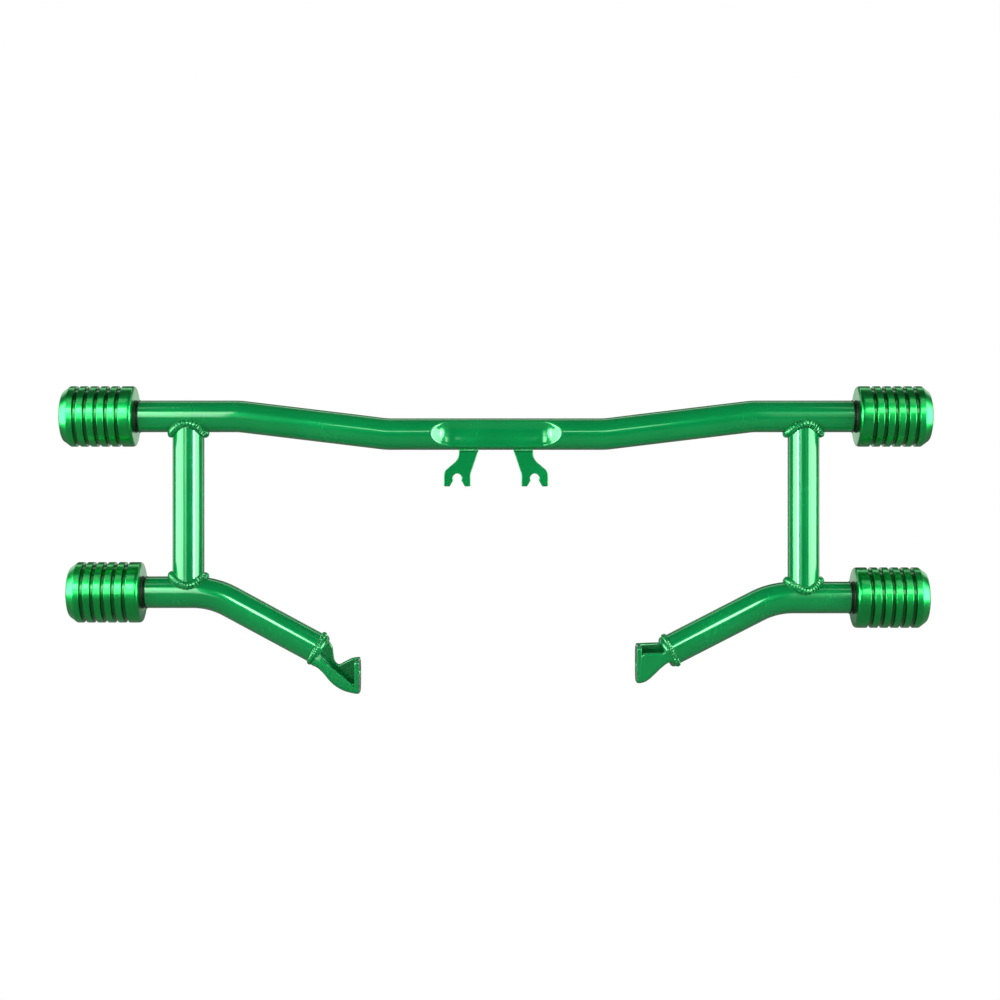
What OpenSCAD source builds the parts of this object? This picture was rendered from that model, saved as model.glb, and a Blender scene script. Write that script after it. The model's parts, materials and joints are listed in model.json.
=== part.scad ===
// Motorcycle crash bar: a welded tube frame with a grooved slider puck bolted to each of its four
// ends, two slotted tabs under the middle and a bolt-on lug at the inner end of each lower arm.
// Millimetres. +X is to the viewer's right, +Y away from the viewer, +Z up. Left means -X.
// The origin lies midway between the two fork slots, at the middle of the tabs' thickness.

/* [Frame tube] */
// Outside diameter of every frame tube (1 1/4 inch)
tube_d = 31.75; // [30:0.25:33]
// Wall of every frame tube
tube_wall = 2.4; // [2:0.2:3]
// Centreline radius of every bend
bend_r = 80; // [65:5:95]

/* [Upper bar] */
// Height of the bar's middle stretch above the fork slots
bar_z = 44; // [42:1:48]
// How far the bar's ends stand above its middle stretch
bar_rise = 17.5; // [12:0.5:24]
// Distance of the two inner bends from the middle
inner_bend_x = 109; // [100:1:120]
// Distance of the two outer bends from the middle
outer_bend_x = 256; // [235:1:262]
// Distance of the bar's two ends from the middle
bar_end_x = 355.5; // [345:0.5:370]
// Overall length of the pressed dent in the front of the bar
dent_len = 128; // [100:1:150]
// Height of the pressed dent
dent_h = 25; // [20:1:27]
// Radius of the die that pressed the dent
dent_die_r = 34; // [28:1:50]

/* [Posts and lower arms: left, right] */
// Distance of each post from the middle
post_x = 307.5; // [300:0.5:315]
// Height of each lower arm's level stub
arm_z = [-114.3, -119.6]; // [-130:0.1:-105]
// Distance of each lower arm's outer end from the middle
arm_end_x = [348.5, 352.7]; // [340:0.1:360]
// Distance of each lower arm's bend from the middle
arm_bend_x = [282.8, 277.3]; // [270:0.1:284]
// Slope of each lower arm below the horizontal
arm_slope = [28.3, 27.1]; // [27:0.1:29]
// Length of each lower arm from its bend to its inner end
arm_len = [118.6, 115.8]; // [115:0.1:120]

/* [Fork tabs] */
// Distance between the two slots' centres
slot_spacing = 77.4; // [72:0.2:82]
// Width of each slot at its round end
slot_w = 8.8; // [8:0.1:10]
// Thickness of each tab
tab_t = 5; // [4:0.5:6]

/* [Frame lugs: left, right] */
// Distance of each lug's inner plate face from the middle
lug_x = [136, 140]; // [135:0.5:141]
// Height of each lug's bolt hole
lug_hole_z = [-194, -186]; // [-195:0.5:-185]
// Diameter of each lug's bolt hole
lug_hole_d = 10.5; // [8.4:0.1:12.5]
// Thickness of each lug's end plate
lug_plate_t = 4.5; // [4:0.5:6]
// Wall of each lug's channel
lug_wall = 3.5; // [3:0.5:4]

/* [Sliders] */
// Diameter of each slider
slider_d = 60.5; // [56:0.5:64]
// Length of each slider
slider_len = 72.8; // [70:0.2:80]
// Number of grooves round each slider
groove_count = 5; // [3:1:5]
// Distance from one groove to the next
groove_pitch = 10.45; // [9:0.05:10.6]
// Width of each groove at its mouth
groove_w = 4.3; // [3:0.1:6]
// Depth of each groove
groove_depth = 2.7; // [1:0.1:4]
// Length of the cone at each slider's outer end
nose_len = 8.5; // [4:0.5:10]
// Radius of each slider's outer face
nose_r = 23.5; // [20:0.5:26]

/* [Slider fastening] */
// Length of the spacer ring between each tube end and its slider
collar_len = 4.5; // [3:0.5:6]
// Nominal diameter of each slider bolt
bolt_d = 10; // [8:1:12]
// Length of each slider bolt under its head
bolt_len = 70; // [60:5:70]
// Length of the threaded boss inside each tube end
boss_len = 32; // [30:1:40]
// Depth of the recess that holds each bolt's head
recess_depth = 34; // [30:1:40]

/* [Welds] */
// Leg length of each weld bead
weld_leg = 4; // [2.5:0.5:5]

/* [Hidden] */
$fn = 72;
LEFT = 0;
RIGHT = 1;
tube_r = tube_d / 2;
bore_r = tube_r - tube_wall;
end_z = bar_z + bar_rise;
cut = 1;                       // how far a cutter runs past the face that it opens
lap = 1;                       // how far a rod's straight stretch runs into its bend
swell = 0.05;                  // how much thicker a bend is, so that the lap stays inside it
bolt_r = bolt_d / 2;
bolt_clear_r = bolt_r + 0.5;
bolt_head_r = 0.8 * bolt_d;
bolt_socket_r = 0.4 * bolt_d / cos(30);
washer_t = 2;
washer_r = bolt_head_r + 1;
recess_r = washer_r + 0.5;
collar_r = tube_r + 0.4;
slider_r = slider_d / 2;
edge = 3;                      // corner cut at each slider's inner face
last_groove = 14.6;            // from a slider's inner face to the nearest groove's middle
tab_foot = 8.5;                // how far a tab reaches below its slot's centre
tab_root = [-21.6, -1.5];      // inner and outer edge of a tab's root, from its slot's centre
tab_top = bar_z - tube_r;      // where a tab meets the bar's underside
slot_lip = 0.4;                // how far each side of a slot draws in below its round end
lug_half = tube_r + 1;         // half of a lug plate's width, front to back
lug_lip = 0.6;                 // how far a lug's root disc stands proud of the tube

bar_path = [[-bar_end_x, end_z], [-outer_bend_x, end_z], [-inner_bend_x, bar_z],
            [inner_bend_x, bar_z], [outer_bend_x, end_z], [bar_end_x, end_z]];

// Lug outlines, as [distance outboard of the plate's inner face, height above the bolt hole].
// The section that narrows behind the tube, one between it and the plate, and the plate's own.
lug_waist = [[24, -11, 7], [30, 1.8, 19.5]];
lug_middle = [[13, -18.5, 9], [8, -17, 19]];
lug_mouth = [[0.5, -20, 12], [0.5, -17.5, 18.6]];
// Height range of each end plate
lug_plate_low = [-20.5, -18];
lug_plate_high = [12.8, 19];
// What is cut from each channel's front wall, above its rim
lug_rim = [[[4, -14.5], [36, 12.4], [60, 34], [60, 70], [4, 70]],
           [[4, 7], [7, 11], [26, 11.5], [29, 17.5], [34, 22], [60, 22], [60, 70], [4, 70]]];

// ---------- geometry helpers ----------

function heading(a, b) = atan2(b[1] - a[1], b[0] - a[0]);
function along(p, angle, d) = p + d * [cos(angle), sin(angle)];
// Points of an arc from angle a to angle b
function arc(centre, r, a, b, steps = 8) =
    [for (i = [0 : steps]) along(centre, a + (b - a) * i / steps, r)];
// A path made longer at both ends
function longer(p, d) = let (n = len(p) - 1)
    [along(p[0], heading(p[1], p[0]), d), for (i = [1 : n - 1]) p[i],
     along(p[n], heading(p[n - 1], p[n]), d)];

// One bend of a rod: v is the corner of its centreline, from heading h through the angle turn
module rod_bend(v, h, turn, r) {
    side = sign(turn);
    start = along(v, h, -bend_r * tan(abs(turn) / 2));
    centre = along(start, h + 90 * side, bend_r);
    translate([centre[0], 0, centre[1]])
        rotate([90, 0, 0])
            rotate([0, 0, side > 0 ? h - 90 : h + 90 + turn])
                rotate_extrude(angle = abs(turn)) translate([bend_r, 0]) circle(r = r + swell);
}

// A round rod whose centreline follows XZ points and is bent at each inner one
module bent_rod(path, r) {
    n = len(path) - 1;
    h = [for (i = [0 : n - 1]) heading(path[i], path[i + 1])];
    turn = [0, for (i = [1 : n - 1]) h[i] - h[i - 1], 0];
    setback = [for (t = turn) t == 0 ? 0 : bend_r * tan(abs(t) / 2) - lap];
    for (i = [0 : n - 1]) {
        start = along(path[i], h[i], setback[i]);
        translate([start[0], 0, start[1]])
            rotate([0, 90 - h[i], 0])
                cylinder(h = norm(path[i + 1] - path[i]) - setback[i] - setback[i + 1], r = r);
    }
    for (i = [1 : n - 1]) rod_bend(path[i], h[i - 1], turn[i], r);
}

// Everything is drawn for the right-hand side, and mirrored for the left
module on_side(side) {
    if (side == LEFT) mirror([1, 0, 0]) children();
    else children();
}

// ---------- frame ----------

// The die that presses the dent, grown by the tube's wall for the inside of the tube
module dent_die(grow) {
    chord = sqrt(pow(dent_die_r, 2) - pow(dent_h / 2, 2));
    stand_off = sqrt(pow(tube_r, 2) - pow(dent_h / 2, 2)) + chord;
    end_run = sqrt(pow(dent_die_r, 2) - pow(stand_off - tube_r, 2));
    half = dent_len / 2 - end_run;
    translate([0, -stand_off, bar_z]) {
        translate([-half, 0, 0]) rotate([0, 90, 0]) cylinder(h = 2 * half, r = dent_die_r + grow);
        for (s = [-1, 1]) translate([s * half, 0, 0]) sphere(r = dent_die_r + grow);
    }
}

module upper_bar() {
    color("seagreen")
        difference() {
            difference() {
                bent_rod(bar_path, tube_r);
                dent_die(0);
            }
            difference() {
                bent_rod(longer(bar_path, cut), bore_r);
                dent_die(tube_wall);
            }
        }
}

function arm_inner_end(side) = [arm_bend_x[side] - arm_len[side] * cos(arm_slope[side]),
                                arm_z[side] - arm_len[side] * sin(arm_slope[side])];
function arm_path(side) = [arm_inner_end(side), [arm_bend_x[side], arm_z[side]],
                           [arm_end_x[side], arm_z[side]]];

module lower_arm(side) {
    color("seagreen")
        on_side(side)
            difference() {
                bent_rod(arm_path(side), tube_r);
                bent_rod(longer(arm_path(side), cut), bore_r);
            }
}

module post_rod(side, r) {
    translate([post_x, 0, arm_z[side]]) cylinder(h = end_z - arm_z[side], r = r);
}

// A post is coped to fit round the upper bar and the lower arm
module post(side) {
    color("mediumseagreen")
        on_side(side)
            difference() {
                post_rod(side, tube_r);
                post_rod(side, bore_r);
                bent_rod(bar_path, tube_r);
                bent_rod(arm_path(side), tube_r);
            }
}

// ---------- fork tabs ----------

// Outline of the right tab about its slot's centre: outer edge, foot with its open slot, inner edge
function tab_outline() = concat(
    [[tab_root[1], tab_top + 4], [tab_root[1], 25]],
    arc([11.5, 25], 13, 180, 228),
    arc([4.4, 2.2], 9, 52, 0),
    [[13.4, -tab_foot + 1], [12.4, -tab_foot], [7.6, -tab_foot]],
    [[slot_w / 2 - slot_lip, -2.4]],
    arc([0, 0], slot_w / 2, -25, 205, 24),
    [[-slot_w / 2 + slot_lip, -2.4]],
    [[-7.6, -tab_foot], [-12.3, -tab_foot], [-13.3, -tab_foot + 1], [-13.3, 2.5], [-13.8, 5.5],
     [tab_root[0], tab_top], [tab_root[0], tab_top + 4]]);

module tab_blank() {
    translate([slot_spacing / 2, tab_t / 2, 0])
        rotate([90, 0, 0])
            linear_extrude(height = tab_t) polygon(tab_outline());
}

module fork_tab(side) {
    color("green")
        on_side(side)
            difference() {
                tab_blank();
                bent_rod(bar_path, tube_r);
            }
}

// ---------- frame lugs ----------

// Rounded cross-section of a lug's channel, 0.5 mm thick, for hull()
module lug_section(at, half, drop, r) {
    for (y = [-1, 1], v = [at[1] + r, at[2] - r + drop])
        translate([at[0], y * (half - r), v]) rotate([0, 90, 0]) cylinder(h = 0.5, r = r, $fn = 32);
}

// The disc that closes the tube's inner end, in the lug's own place
module lug_root(side, r, t) {
    inner = arm_inner_end(side) - [lug_x[side], lug_hole_z[side]];
    translate([inner[0], 0, inner[1]])
        rotate([0, -90 - arm_slope[side], 0])
            cylinder(h = t, r = r);
}

// Channel that runs from the tube's round end through a narrow waist to the plate
module lug_channel(side, wall, lift) {
    corner = 8 - wall;
    half = tube_r - wall;
    inset = [0, wall, 0];
    hull() {
        lug_root(side, half, 1);
        lug_section(lug_waist[side] + inset, half, lift, corner);
    }
    hull() {
        lug_section(lug_waist[side] + inset, half, lift, corner);
        lug_section(lug_middle[side] + inset, half, lift, corner);
        lug_section(lug_mouth[side] + inset, half, lift, corner);
    }
}

module lug_plate(side) {
    low = lug_plate_low[side];
    high = lug_plate_high[side];
    back = 10;
    front = 4;
    rotate([90, 0, 90])
        linear_extrude(height = lug_plate_t)
            polygon(concat(
                arc([-lug_half + front, low + front], front, 180, 270),
                arc([lug_half - back, low + back], back, 270, 360),
                arc([lug_half - back, high - back], back, 0, 90),
                arc([-lug_half + front, high - front], front, 90, 180)));
}

module frame_lug(side) {
    color("darkgreen")
        on_side(side)
            translate([lug_x[side], 0, lug_hole_z[side]])
                difference() {
                    union() {
                        difference() {
                            lug_channel(side, 0, 0);
                            lug_channel(side, lug_wall, 20);
                            rotate([90, 0, 0])
                                linear_extrude(height = 2 * tube_r) polygon(lug_rim[side]);
                        }
                        lug_root(side, tube_r + lug_lip, lug_wall);
                        lug_plate(side);
                    }
                    translate([-cut, 0, 0])
                        rotate([0, 90, 0])
                            cylinder(h = lug_plate_t + 2 * cut, d = lug_hole_d);
                }
}

// ---------- welds ----------

// The bead in the corner between a post and the tube that it stands on
module post_weld(side, path, low, high) {
    color("limegreen")
        on_side(side)
            difference() {
                intersection() {
                    bent_rod(path, tube_r + weld_leg);
                    translate([post_x, 0, low]) cylinder(h = high - low, r = tube_r + weld_leg);
                }
                bent_rod(path, tube_r);
                post_rod(side, tube_r);
            }
}

// The beads along a tab's root, in front and behind
module tab_weld(side) {
    color("limegreen")
        on_side(side)
            difference() {
                intersection() {
                    bent_rod(bar_path, tube_r + weld_leg / 2);
                    translate([slot_spacing / 2 + tab_root[0], -tab_t / 2 - weld_leg, tab_top - weld_leg])
                        cube([tab_root[1] - tab_root[0], tab_t + 2 * weld_leg, 3 * weld_leg]);
                }
                bent_rod(bar_path, tube_r);
                tab_blank();
            }
}

// The bead round the joint between a lower arm and its lug
module lug_weld(side) {
    inner = arm_inner_end(side);
    color("limegreen")
        on_side(side)
            translate([inner[0], 0, inner[1]])
                rotate([0, -90 - arm_slope[side], 0])
                    rotate_extrude()
                        polygon([[tube_r, -weld_leg / 2], [tube_r + 1.6, -weld_leg / 4],
                                 [tube_r + 1.6, 0], [tube_r, 0]]);
}

// ---------- slider stations ----------

// Stands children at a tube end, with +Z pointing outwards along the tube
module at_tube_end(side, upper) {
    x = upper ? bar_end_x : arm_end_x[side];
    z = upper ? end_z : arm_z[side];
    on_side(side) translate([x, 0, z]) rotate([0, 90, 0]) children();
}

function groove(z) = [[slider_r, z - groove_w / 2], [slider_r - groove_depth, z - groove_w / 3],
                      [slider_r - groove_depth, z + groove_w / 3], [slider_r, z + groove_w / 2]];

module slider(side, upper) {
    profile = concat(
        [[bolt_clear_r, 0], [slider_r - edge, 0], [slider_r - edge / 4, edge / 4], [slider_r, edge]],
        [for (i = [0 : groove_count - 1]) each groove(last_groove + i * groove_pitch)],
        [[slider_r, slider_len - nose_len], [nose_r + 1, slider_len - 0.8], [nose_r, slider_len],
         [recess_r, slider_len], [recess_r, slider_len - recess_depth],
         [bolt_clear_r, slider_len - recess_depth]]);
    color("forestgreen")
        at_tube_end(side, upper)
            translate([0, 0, collar_len]) rotate_extrude() polygon(profile);
}

module collar(side, upper) {
    waist = 1.2;
    color("black")
        at_tube_end(side, upper)
            rotate_extrude()
                polygon([[bolt_clear_r, 0], [collar_r, 0], [collar_r - waist, collar_len / 2],
                         [collar_r, collar_len], [bolt_clear_r, collar_len]]);
}

module boss(side, upper) {
    color("gray")
        at_tube_end(side, upper)
            translate([0, 0, -boss_len])
                difference() {
                    cylinder(h = boss_len, r = bore_r);
                    translate([0, 0, -cut]) cylinder(h = boss_len + 2 * cut, r = bolt_r);
                }
}

// Where a bolt's washer rests, measured from the tube end
seat = collar_len + slider_len - recess_depth;

module washer(side, upper) {
    color("silver")
        at_tube_end(side, upper)
            translate([0, 0, seat])
                difference() {
                    cylinder(h = washer_t, r = washer_r);
                    translate([0, 0, -cut]) cylinder(h = washer_t + 2 * cut, r = bolt_clear_r);
                }
}

module bolt(side, upper) {
    head = bolt_d;
    color("dimgray")
        at_tube_end(side, upper)
            translate([0, 0, seat + washer_t])
                difference() {
                    union() {
                        translate([0, 0, -bolt_len]) cylinder(h = bolt_len + cut, r = bolt_r);
                        rotate_extrude()
                            polygon([[0, 0], [bolt_head_r, 0], [bolt_head_r, head - 1],
                                     [bolt_head_r - 1, head], [0, head]]);
                    }
                    translate([0, 0, head / 2]) cylinder(h = head, r = bolt_socket_r, $fn = 6);
                }
}

// ---------- nodes ----------

module left_post() post(LEFT);
module right_post() post(RIGHT);
module left_lower_arm() lower_arm(LEFT);
module right_lower_arm() lower_arm(RIGHT);
module left_fork_tab() fork_tab(LEFT);
module right_fork_tab() fork_tab(RIGHT);
module left_frame_lug() frame_lug(LEFT);
module right_frame_lug() frame_lug(RIGHT);
module left_post_top_weld() post_weld(LEFT, bar_path, 0, end_z);
module right_post_top_weld() post_weld(RIGHT, bar_path, 0, end_z);
module left_post_foot_weld() post_weld(LEFT, arm_path(LEFT), arm_z[LEFT], 0);
module right_post_foot_weld() post_weld(RIGHT, arm_path(RIGHT), arm_z[RIGHT], 0);
module left_fork_tab_weld() tab_weld(LEFT);
module right_fork_tab_weld() tab_weld(RIGHT);
module left_lug_weld() lug_weld(LEFT);
module right_lug_weld() lug_weld(RIGHT);
module upper_left_slider() slider(LEFT, true);
module upper_right_slider() slider(RIGHT, true);
module lower_left_slider() slider(LEFT, false);
module lower_right_slider() slider(RIGHT, false);
module upper_left_collar() collar(LEFT, true);
module upper_right_collar() collar(RIGHT, true);
module lower_left_collar() collar(LEFT, false);
module lower_right_collar() collar(RIGHT, false);
module upper_left_boss() boss(LEFT, true);
module upper_right_boss() boss(RIGHT, true);
module lower_left_boss() boss(LEFT, false);
module lower_right_boss() boss(RIGHT, false);
module upper_left_bolt() bolt(LEFT, true);
module upper_right_bolt() bolt(RIGHT, true);
module lower_left_bolt() bolt(LEFT, false);
module lower_right_bolt() bolt(RIGHT, false);
module upper_left_washer() washer(LEFT, true);
module upper_right_washer() washer(RIGHT, true);
module lower_left_washer() washer(LEFT, false);
module lower_right_washer() washer(RIGHT, false);

upper_bar();
left_post();
right_post();
left_lower_arm();
right_lower_arm();
left_fork_tab();
right_fork_tab();
left_frame_lug();
right_frame_lug();
left_post_top_weld();
right_post_top_weld();
left_post_foot_weld();
right_post_foot_weld();
left_fork_tab_weld();
right_fork_tab_weld();
left_lug_weld();
right_lug_weld();
upper_left_slider();
upper_right_slider();
lower_left_slider();
lower_right_slider();
upper_left_collar();
upper_right_collar();
lower_left_collar();
lower_right_collar();
upper_left_boss();
upper_right_boss();
lower_left_boss();
lower_right_boss();
upper_left_bolt();
upper_right_bolt();
lower_left_bolt();
lower_right_bolt();
upper_left_washer();
upper_right_washer();
lower_left_washer();
lower_right_washer();
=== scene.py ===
import functools
import json
import math

import bmesh
import bpy
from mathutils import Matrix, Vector


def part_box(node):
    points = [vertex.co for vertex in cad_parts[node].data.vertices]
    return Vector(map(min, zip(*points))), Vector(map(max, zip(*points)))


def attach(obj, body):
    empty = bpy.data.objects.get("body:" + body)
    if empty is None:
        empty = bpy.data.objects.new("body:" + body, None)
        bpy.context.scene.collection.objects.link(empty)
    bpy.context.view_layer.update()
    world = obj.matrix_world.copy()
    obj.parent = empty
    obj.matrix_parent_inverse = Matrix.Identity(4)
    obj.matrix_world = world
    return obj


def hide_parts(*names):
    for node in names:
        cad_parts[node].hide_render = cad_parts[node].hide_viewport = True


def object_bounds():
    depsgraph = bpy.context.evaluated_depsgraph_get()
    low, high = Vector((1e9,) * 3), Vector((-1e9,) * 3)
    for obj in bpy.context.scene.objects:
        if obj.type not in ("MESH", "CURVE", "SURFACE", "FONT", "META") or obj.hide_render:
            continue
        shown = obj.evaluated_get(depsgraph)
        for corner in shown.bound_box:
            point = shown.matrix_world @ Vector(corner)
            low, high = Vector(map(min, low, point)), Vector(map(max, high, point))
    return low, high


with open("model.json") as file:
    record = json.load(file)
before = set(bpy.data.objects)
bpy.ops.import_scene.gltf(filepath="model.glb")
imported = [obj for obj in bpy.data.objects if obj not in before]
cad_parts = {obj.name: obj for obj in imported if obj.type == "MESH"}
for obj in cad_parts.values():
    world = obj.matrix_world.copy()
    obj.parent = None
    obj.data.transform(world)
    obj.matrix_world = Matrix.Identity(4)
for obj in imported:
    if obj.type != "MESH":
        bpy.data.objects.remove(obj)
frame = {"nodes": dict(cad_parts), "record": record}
cad_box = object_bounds()

# ---------- sizes, in metres ----------

LEFT, RIGHT = -1, 1
SIDE_NAME = {LEFT: "left", RIGHT: "right"}
AROUND = 96                      # points round a tube
BAR_LOW, BAR_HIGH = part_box("upper_bar")
TUBE_R = (BAR_HIGH.y - BAR_LOW.y) / 2 - 0.00005
TUBE_WALL = 0.0024
BEND_R = 0.080
BAR_Z = BAR_LOW.z + TUBE_R       # middle stretch of the upper bar
END_Z = BAR_HIGH.z - TUBE_R      # its two ends
BAR_END = BAR_HIGH.x
INNER_BEND = 0.109
OUTER_BEND = 0.256
DENT_LEN = 0.128
DENT_H = 0.025
DENT_DIE_R = 0.034
DENT_EASE = 0.0012               # how far the dent's rim is rounded
ARM_SLOPE = {LEFT: math.radians(28.3), RIGHT: math.radians(27.1)}
SADDLE_FILL = 0.0065             # how far a post's bead fills the saddle's peak
POST_TUCK = 0.0006               # how far a post's ends reach into the tubes they meet

SLIDER_R = cad_box[1].y
GROOVE_COUNT = 5
GROOVE_PITCH = 0.01045
GROOVE_MOUTH = 0.0043
GROOVE_DEPTH = 0.0027
FIRST_GROOVE = 0.0146            # from a slider's inner face to the nearest groove's middle
INNER_CORNER = 0.003             # cut corner at a slider's inner end
LAND_START = 0.006               # where the plain cylinder for the grooves begins
LAND_STEP = 0.00025
NOSE_LEN = 0.0085
NOSE_R = 0.0235
NOSE_EASE = 0.0012
RECESS_R = 0.0095
RECESS_DEPTH = 0.034
BOLT_CLEAR_R = 0.0055

BOLT_HEAD_R = 0.008
BOLT_HEAD_LEN = 0.010
BOLT_SHANK_R = 0.005
KEY_R = 0.004                    # half of the hexagonal socket's width across flats
KEY_DEPTH = 0.005
KNURL_DEPTH = 0.00025
KNURL_LOBES = 24

TAB_T = 0.005
TAB_FOOT = 0.0085
SLOT_R = 0.0044
SLOT_X = 0.0387
TAB_ROOT = (-0.0216, -0.0015)    # inner and outer edge of a tab's root, from its slot's centre

LUG_WALL = 0.0035
SECTION_POINTS = 46              # points along each skin of a lug's section
STATION_STEPS = 8                # rings from one lug station to the next
PLATE_T = 0.0045
LUG_HOLE_R = 0.00525
PLATE_BOTTOM = {LEFT: -0.0205, RIGHT: -0.018}    # from the bolt hole's centre
PLATE_TOP = {LEFT: 0.0128, RIGHT: 0.019}
PLATE_BACK_R = 0.010
PLATE_FRONT_R = 0.004
PLATE_EDGE = 0.0005
ROOT_BACK = -0.002               # the root disc's two faces, along the arm from its end
ROOT_FRONT = 0.0064
ROOT_EDGE_R = 0.0042


def side_box(pattern, side):
    """The box of a CAD node, with {} in its name standing for the side."""
    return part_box(pattern.format(SIDE_NAME[side]))


def post_x(side):
    """Where a post's centreline stands along X."""
    low, high = side_box("{}_post", side)
    return (low.x + high.x) / 2


@functools.cache
def arm_points(side):
    """Inner end, bend and outer end of a lower arm's centreline, as (x, z). It is cached,
    because a node's box takes long to measure."""
    low, high = side_box("{}_lower_arm", side)
    slope = ARM_SLOPE[side]
    z = high.z - TUBE_R
    inner_edge, outer = (high.x, low.x) if side == LEFT else (low.x, high.x)
    inner = (inner_edge + side * TUBE_R * math.sin(slope), low.z + TUBE_R * math.cos(slope))
    bend = (inner[0] + side * (z - inner[1]) / math.tan(slope), z)
    return [inner, bend, (outer, z)]


def arm_end(side):
    """A lower arm's inner end: its centre, the way it points, and the way across it."""
    inner, bend, _ = arm_points(side)
    start = Vector((inner[0], 0, inner[1]))
    along = (start - Vector((bend[0], 0, bend[1]))).normalized()
    return start, along, Vector((-along.z, 0, along.x))


def turned_end(node, side, outer=False):
    """The middle of a turned piece's inner or outer end, then its length and radius."""
    low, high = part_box(node)
    x = low.x if (side == RIGHT) != outer else high.x
    return Vector((x, 0, (low.z + high.z) / 2)), high.x - low.x, (high.z - low.z) / 2


# ---------- node trees ----------

class Field:
    """A node socket that takes part in sums: each operator adds a Math node to its tree."""

    def __init__(self, nodes, socket):
        self.nodes, self.socket = nodes, socket

    def maths(self, operation, *values):
        return self.nodes.make("ShaderNodeMath", {"operation": operation}, list(values))

    def __add__(self, other):
        return self.maths("ADD", self, other)

    def __radd__(self, other):
        return self.maths("ADD", other, self)

    def __sub__(self, other):
        return self.maths("SUBTRACT", self, other)

    def __rsub__(self, other):
        return self.maths("SUBTRACT", other, self)

    def __mul__(self, other):
        return self.maths("MULTIPLY", self, other)

    def __rmul__(self, other):
        return self.maths("MULTIPLY", other, self)

    def __truediv__(self, other):
        return self.maths("DIVIDE", self, other)

    def __pow__(self, other):
        return self.maths("POWER", self, other)

    def ramp(self, low, high):
        """0 below low, 1 above high, and a smooth step between."""
        return self.nodes.make("ShaderNodeMapRange", {"interpolation_type": "SMOOTHSTEP"},
                               {"Value": self, "From Min": low, "From Max": high})

    def axis(self, name):
        return self.nodes.make("ShaderNodeSeparateXYZ", {}, [self], "XYZ".index(name))


class Nodes:
    """A node tree under construction."""

    def __init__(self, tree):
        self.tree = tree

    def make(self, kind, settings=None, inputs=None, output=0):
        """Adds a node, applies its settings, then fills its sockets with values or links."""
        node = self.tree.nodes.new(kind)
        for key, value in (settings or {}).items():
            setattr(node, key, value)
        pairs = inputs.items() if isinstance(inputs, dict) else enumerate(inputs or [])
        for key, value in pairs:
            if isinstance(value, Field):
                self.tree.links.new(value.socket, node.inputs[key])
            elif value is not None:
                node.inputs[key].default_value = value
        return Field(self, node.outputs[output])

    def noise(self, place, scale, detail=2.0, stretch=None):
        if stretch:
            place = self.make("ShaderNodeVectorMath", {"operation": "MULTIPLY"}, [place, stretch])
        return self.make("ShaderNodeTexNoise", {}, {"Vector": place, "Scale": scale, "Detail": detail})

    def blend(self, mask, a, b):
        """Colour a where mask is 0 and colour b where it is 1. The mix node's colour sockets
        share their names with its other kinds, so they are set by number."""
        return self.make("ShaderNodeMix", {"data_type": "RGBA"}, {0: mask, 6: a, 7: b}, 2)


# ---------- finishes ----------

def finish(name, colour, roughness, height, bump, **constants):
    """A Principled material. colour, roughness and height are functions of (nodes, place)."""
    material = bpy.data.materials.new(name)
    material.use_nodes = True
    nodes = Nodes(material.node_tree)
    shader = material.node_tree.nodes["Principled BSDF"]
    place = nodes.make("ShaderNodeTexCoord", output="Object")
    normal = nodes.make("ShaderNodeBump", {}, {
        "Strength": bump[0], "Distance": bump[1], "Height": height(nodes, place)})
    for key, field in (("Base Color", colour(nodes, place)),
                       ("Roughness", roughness(nodes, place)), ("Normal", normal)):
        material.node_tree.links.new(field.socket, shader.inputs[key])
    for key, value in constants.items():
        shader.inputs[key.replace("_", " ")].default_value = value
    return material


def shade(rgb, factor):
    return (rgb[0] * factor, rgb[1] * factor, rgb[2] * factor, 1.0)


PAINT_GREEN = (0.0, 0.245, 0.056)
ANODISED_GREEN = (0.006, 0.60, 0.105)


def powder_coat(name, peel_size, peel_depth):
    """Gloss paint: clouds of slightly deeper green, fine flow marks and a soft orange peel."""
    def colour(nodes, place):
        clouds = nodes.noise(place, 16.0, 3.0).ramp(0.30, 0.72)
        dust = nodes.noise(place, 1400.0, 1.0).ramp(0.66, 0.80)
        base = nodes.blend(clouds, shade(PAINT_GREEN, 0.93), shade(PAINT_GREEN, 1.06))
        return nodes.blend(dust * 0.25, base, shade(PAINT_GREEN, 1.5))

    def roughness(nodes, place):
        hazy = nodes.noise(place, 34.0, 4.0).ramp(0.40, 0.75)
        rubbed = nodes.noise(place, 420.0, 2.0, stretch=(1.0, 1.0, 0.25)).ramp(0.55, 0.8)
        return 0.21 + 0.07 * hazy + 0.05 * rubbed

    def height(nodes, place):
        peel = nodes.noise(place, 1.0 / peel_size, 2.0)
        flow = nodes.noise(place, 0.12 / peel_size, 1.0)
        return peel * 0.7 + flow * 1.6

    return finish(name, colour, roughness, height, (0.35, peel_depth), Metallic=0.45,
                  Specular_IOR_Level=0.1, Coat_Weight=1.0, Coat_Roughness=0.05, Coat_IOR=1.5)


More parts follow.
